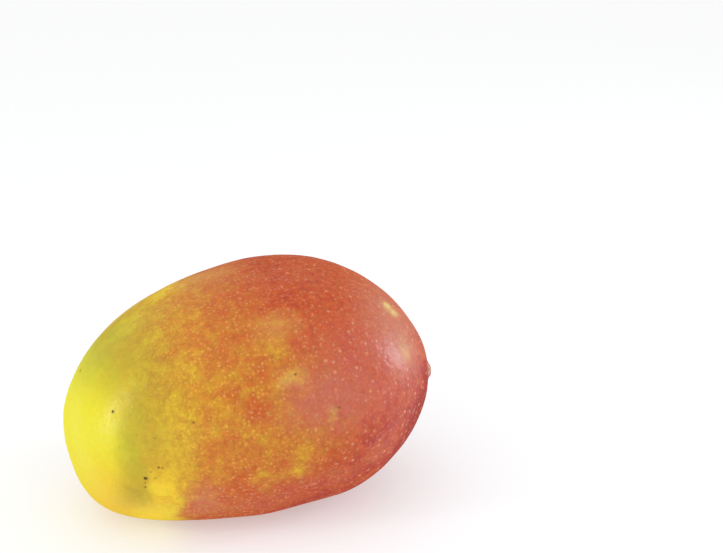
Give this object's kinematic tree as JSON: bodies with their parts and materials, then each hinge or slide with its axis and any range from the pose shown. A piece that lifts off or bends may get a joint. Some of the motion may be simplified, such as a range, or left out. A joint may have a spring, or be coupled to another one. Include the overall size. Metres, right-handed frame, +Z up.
{
  "type": "mango",
  "caption": "Whole ripe mango lying on one cheek, red at the stem end and yellow at the apex, with a short stalk stub and a small flat rest spot.",
  "frame": {"origin": "on the flat spot that the fruit rests on, straight below its centre of mass", "axes": "+Z up, +X towards the stem end, -Y towards the beak side, +Y towards the back of the fruit"},
  "size_m": [0.1279, 0.0989, 0.083],
  "materials": {
    "skin": "satin"
  },
  "bodies": {
    "root": {"mango": "skin"}
  },
  "joints": []
}
